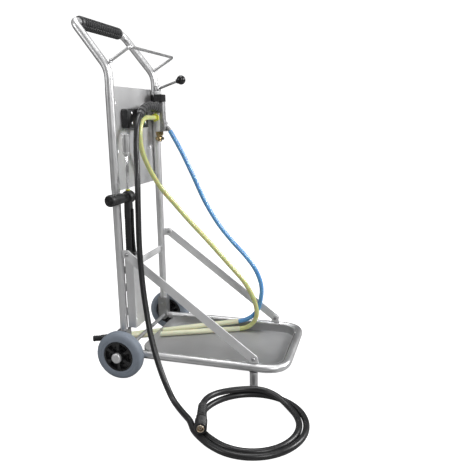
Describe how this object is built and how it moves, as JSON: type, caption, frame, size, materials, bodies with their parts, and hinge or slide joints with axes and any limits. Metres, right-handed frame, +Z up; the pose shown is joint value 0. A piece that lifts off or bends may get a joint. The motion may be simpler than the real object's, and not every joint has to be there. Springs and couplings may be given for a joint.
{
  "type": "wheeled sprayer cart",
  "caption": "Hand-pushed tube-frame sprayer cart on wheels and legs, with a low tray, foam injector, stored spray lance, suction pipes and a pressure hose coiled on the floor.",
  "frame": {"origin": "on the floor, at the middle of the cart's footprint without its hoses", "axes": "+Z up; -Y towards the front of the tray, +Y towards the wheels; -X towards the side with the stored lance"},
  "size_m": [0.785, 0.8299, 1.151],
  "materials": {
    "steel": "satin galvanised tube",
    "sheet": "matte galvanised sheet",
    "strap": "pale matte galvanised strap",
    "plastic": "black moulded",
    "tyre": "blue-grey, dusty",
    "hose_black": "smooth black cover",
    "lime": "lime, slightly translucent",
    "sky": "sky blue, slightly translucent",
    "ivory": "smooth ivory pipe",
    "brass": "machined",
    "bright": "polished"
  },
  "bodies": {
    "cart": {"left_upright": "steel", "right_upright": "steel", "handle_bow": "steel", "hose_hanger": "steel", "crossbar": "steel", "lance_pocket": "steel", "tray_frame": "steel", "left_leg": "steel", "right_leg": "steel", "axle": "steel", "back_panel": "sheet", "tray_pan": "sheet", "left_brace": "strap", "right_brace": "strap", "left_upper_lug": "strap", "right_upper_lug": "strap", "left_lower_lug": "strap", "right_lower_lug": "strap", "left_wheel_bracket": "strap", "right_wheel_bracket": "strap", "left_upper_bolt": "bright", "right_upper_bolt": "bright", "left_lower_bolt": "bright", "right_lower_bolt": "bright", "injector_body": "bright", "handle_grip": "plastic", "hose_bracket": "plastic", "injector_clamp": "plastic", "lime_strainer": "plastic", "sky_strainer": "plastic", "kink_sleeve": "plastic", "coupling_sleeve": "plastic", "water_inlet": "brass", "coupling_core": "brass", "lime_inlet": "lime", "lime_hose": "lime", "sky_inlet": "sky", "sky_hose": "sky", "lime_suction_pipe": "ivory", "sky_suction_pipe": "ivory", "pressure_hose": "hose_black", "pressure_hose_tail": "hose_black", "pressure_hose_coil": "hose_black"},
    "left_wheel": {"left_tyre": "tyre", "left_rim": "plastic", "left_hub_cap": "bright"},
    "right_wheel": {"right_tyre": "tyre", "right_rim": "plastic", "right_hub_cap": "bright"},
    "valve": {"valve_lever": "bright", "lever_knob": "plastic"},
    "lance": {"lance_nipple": "bright", "gun_body": "plastic", "side_handle": "plastic", "lance_pipe": "bright", "lance_ring": "lime"},
    "trigger": {"trigger": "plastic"},
    "nozzle": {"foam_nozzle": "steel"},
    "collar": {"coupling_collar": "plastic"}
  },
  "joints": [
    {"name": "left_wheel_spin", "type": "hinge", "parent": "cart", "child": "left_wheel", "pos_m": [-0.212, 0.184, 0.08], "axis": [1, 0, 0], "continuous": true},
    {"name": "right_wheel_spin", "type": "hinge", "parent": "cart", "child": "right_wheel", "pos_m": [0.212, 0.184, 0.08], "axis": [1, 0, 0], "continuous": true},
    {"name": "valve_turn", "type": "hinge", "parent": "cart", "child": "valve", "pos_m": [0.146, 0.168, 0.94], "axis": [0, 0, 1], "range_deg": [-90, 0]},
    {"name": "lance_lift", "type": "slide", "parent": "cart", "child": "lance", "axis": [0, -0.0175, 0.9998], "range_m": [0, 0.05]},
    {"name": "trigger_squeeze", "type": "hinge", "parent": "lance", "child": "trigger", "pos_m": [-0.1485, 0.14445, 0.55525], "axis": [1, 0, 0], "range_deg": [0, 3.2], "stiffness_Nm_per_rad": 2, "springref_deg": -2.86},
    {"name": "nozzle_turn", "type": "hinge", "parent": "lance", "child": "nozzle", "pos_m": [-0.1485, 0.1545, 0.72495], "axis": [0, -0.0175, 0.9998], "range_deg": [0, 90]},
    {"name": "collar_slide", "type": "slide", "parent": "cart", "child": "collar", "axis": [0.9613, 0.2754, 0], "range_m": [0, 0.006], "stiffness_N_per_m": 800, "springref_m": -0.003}
  ]
}
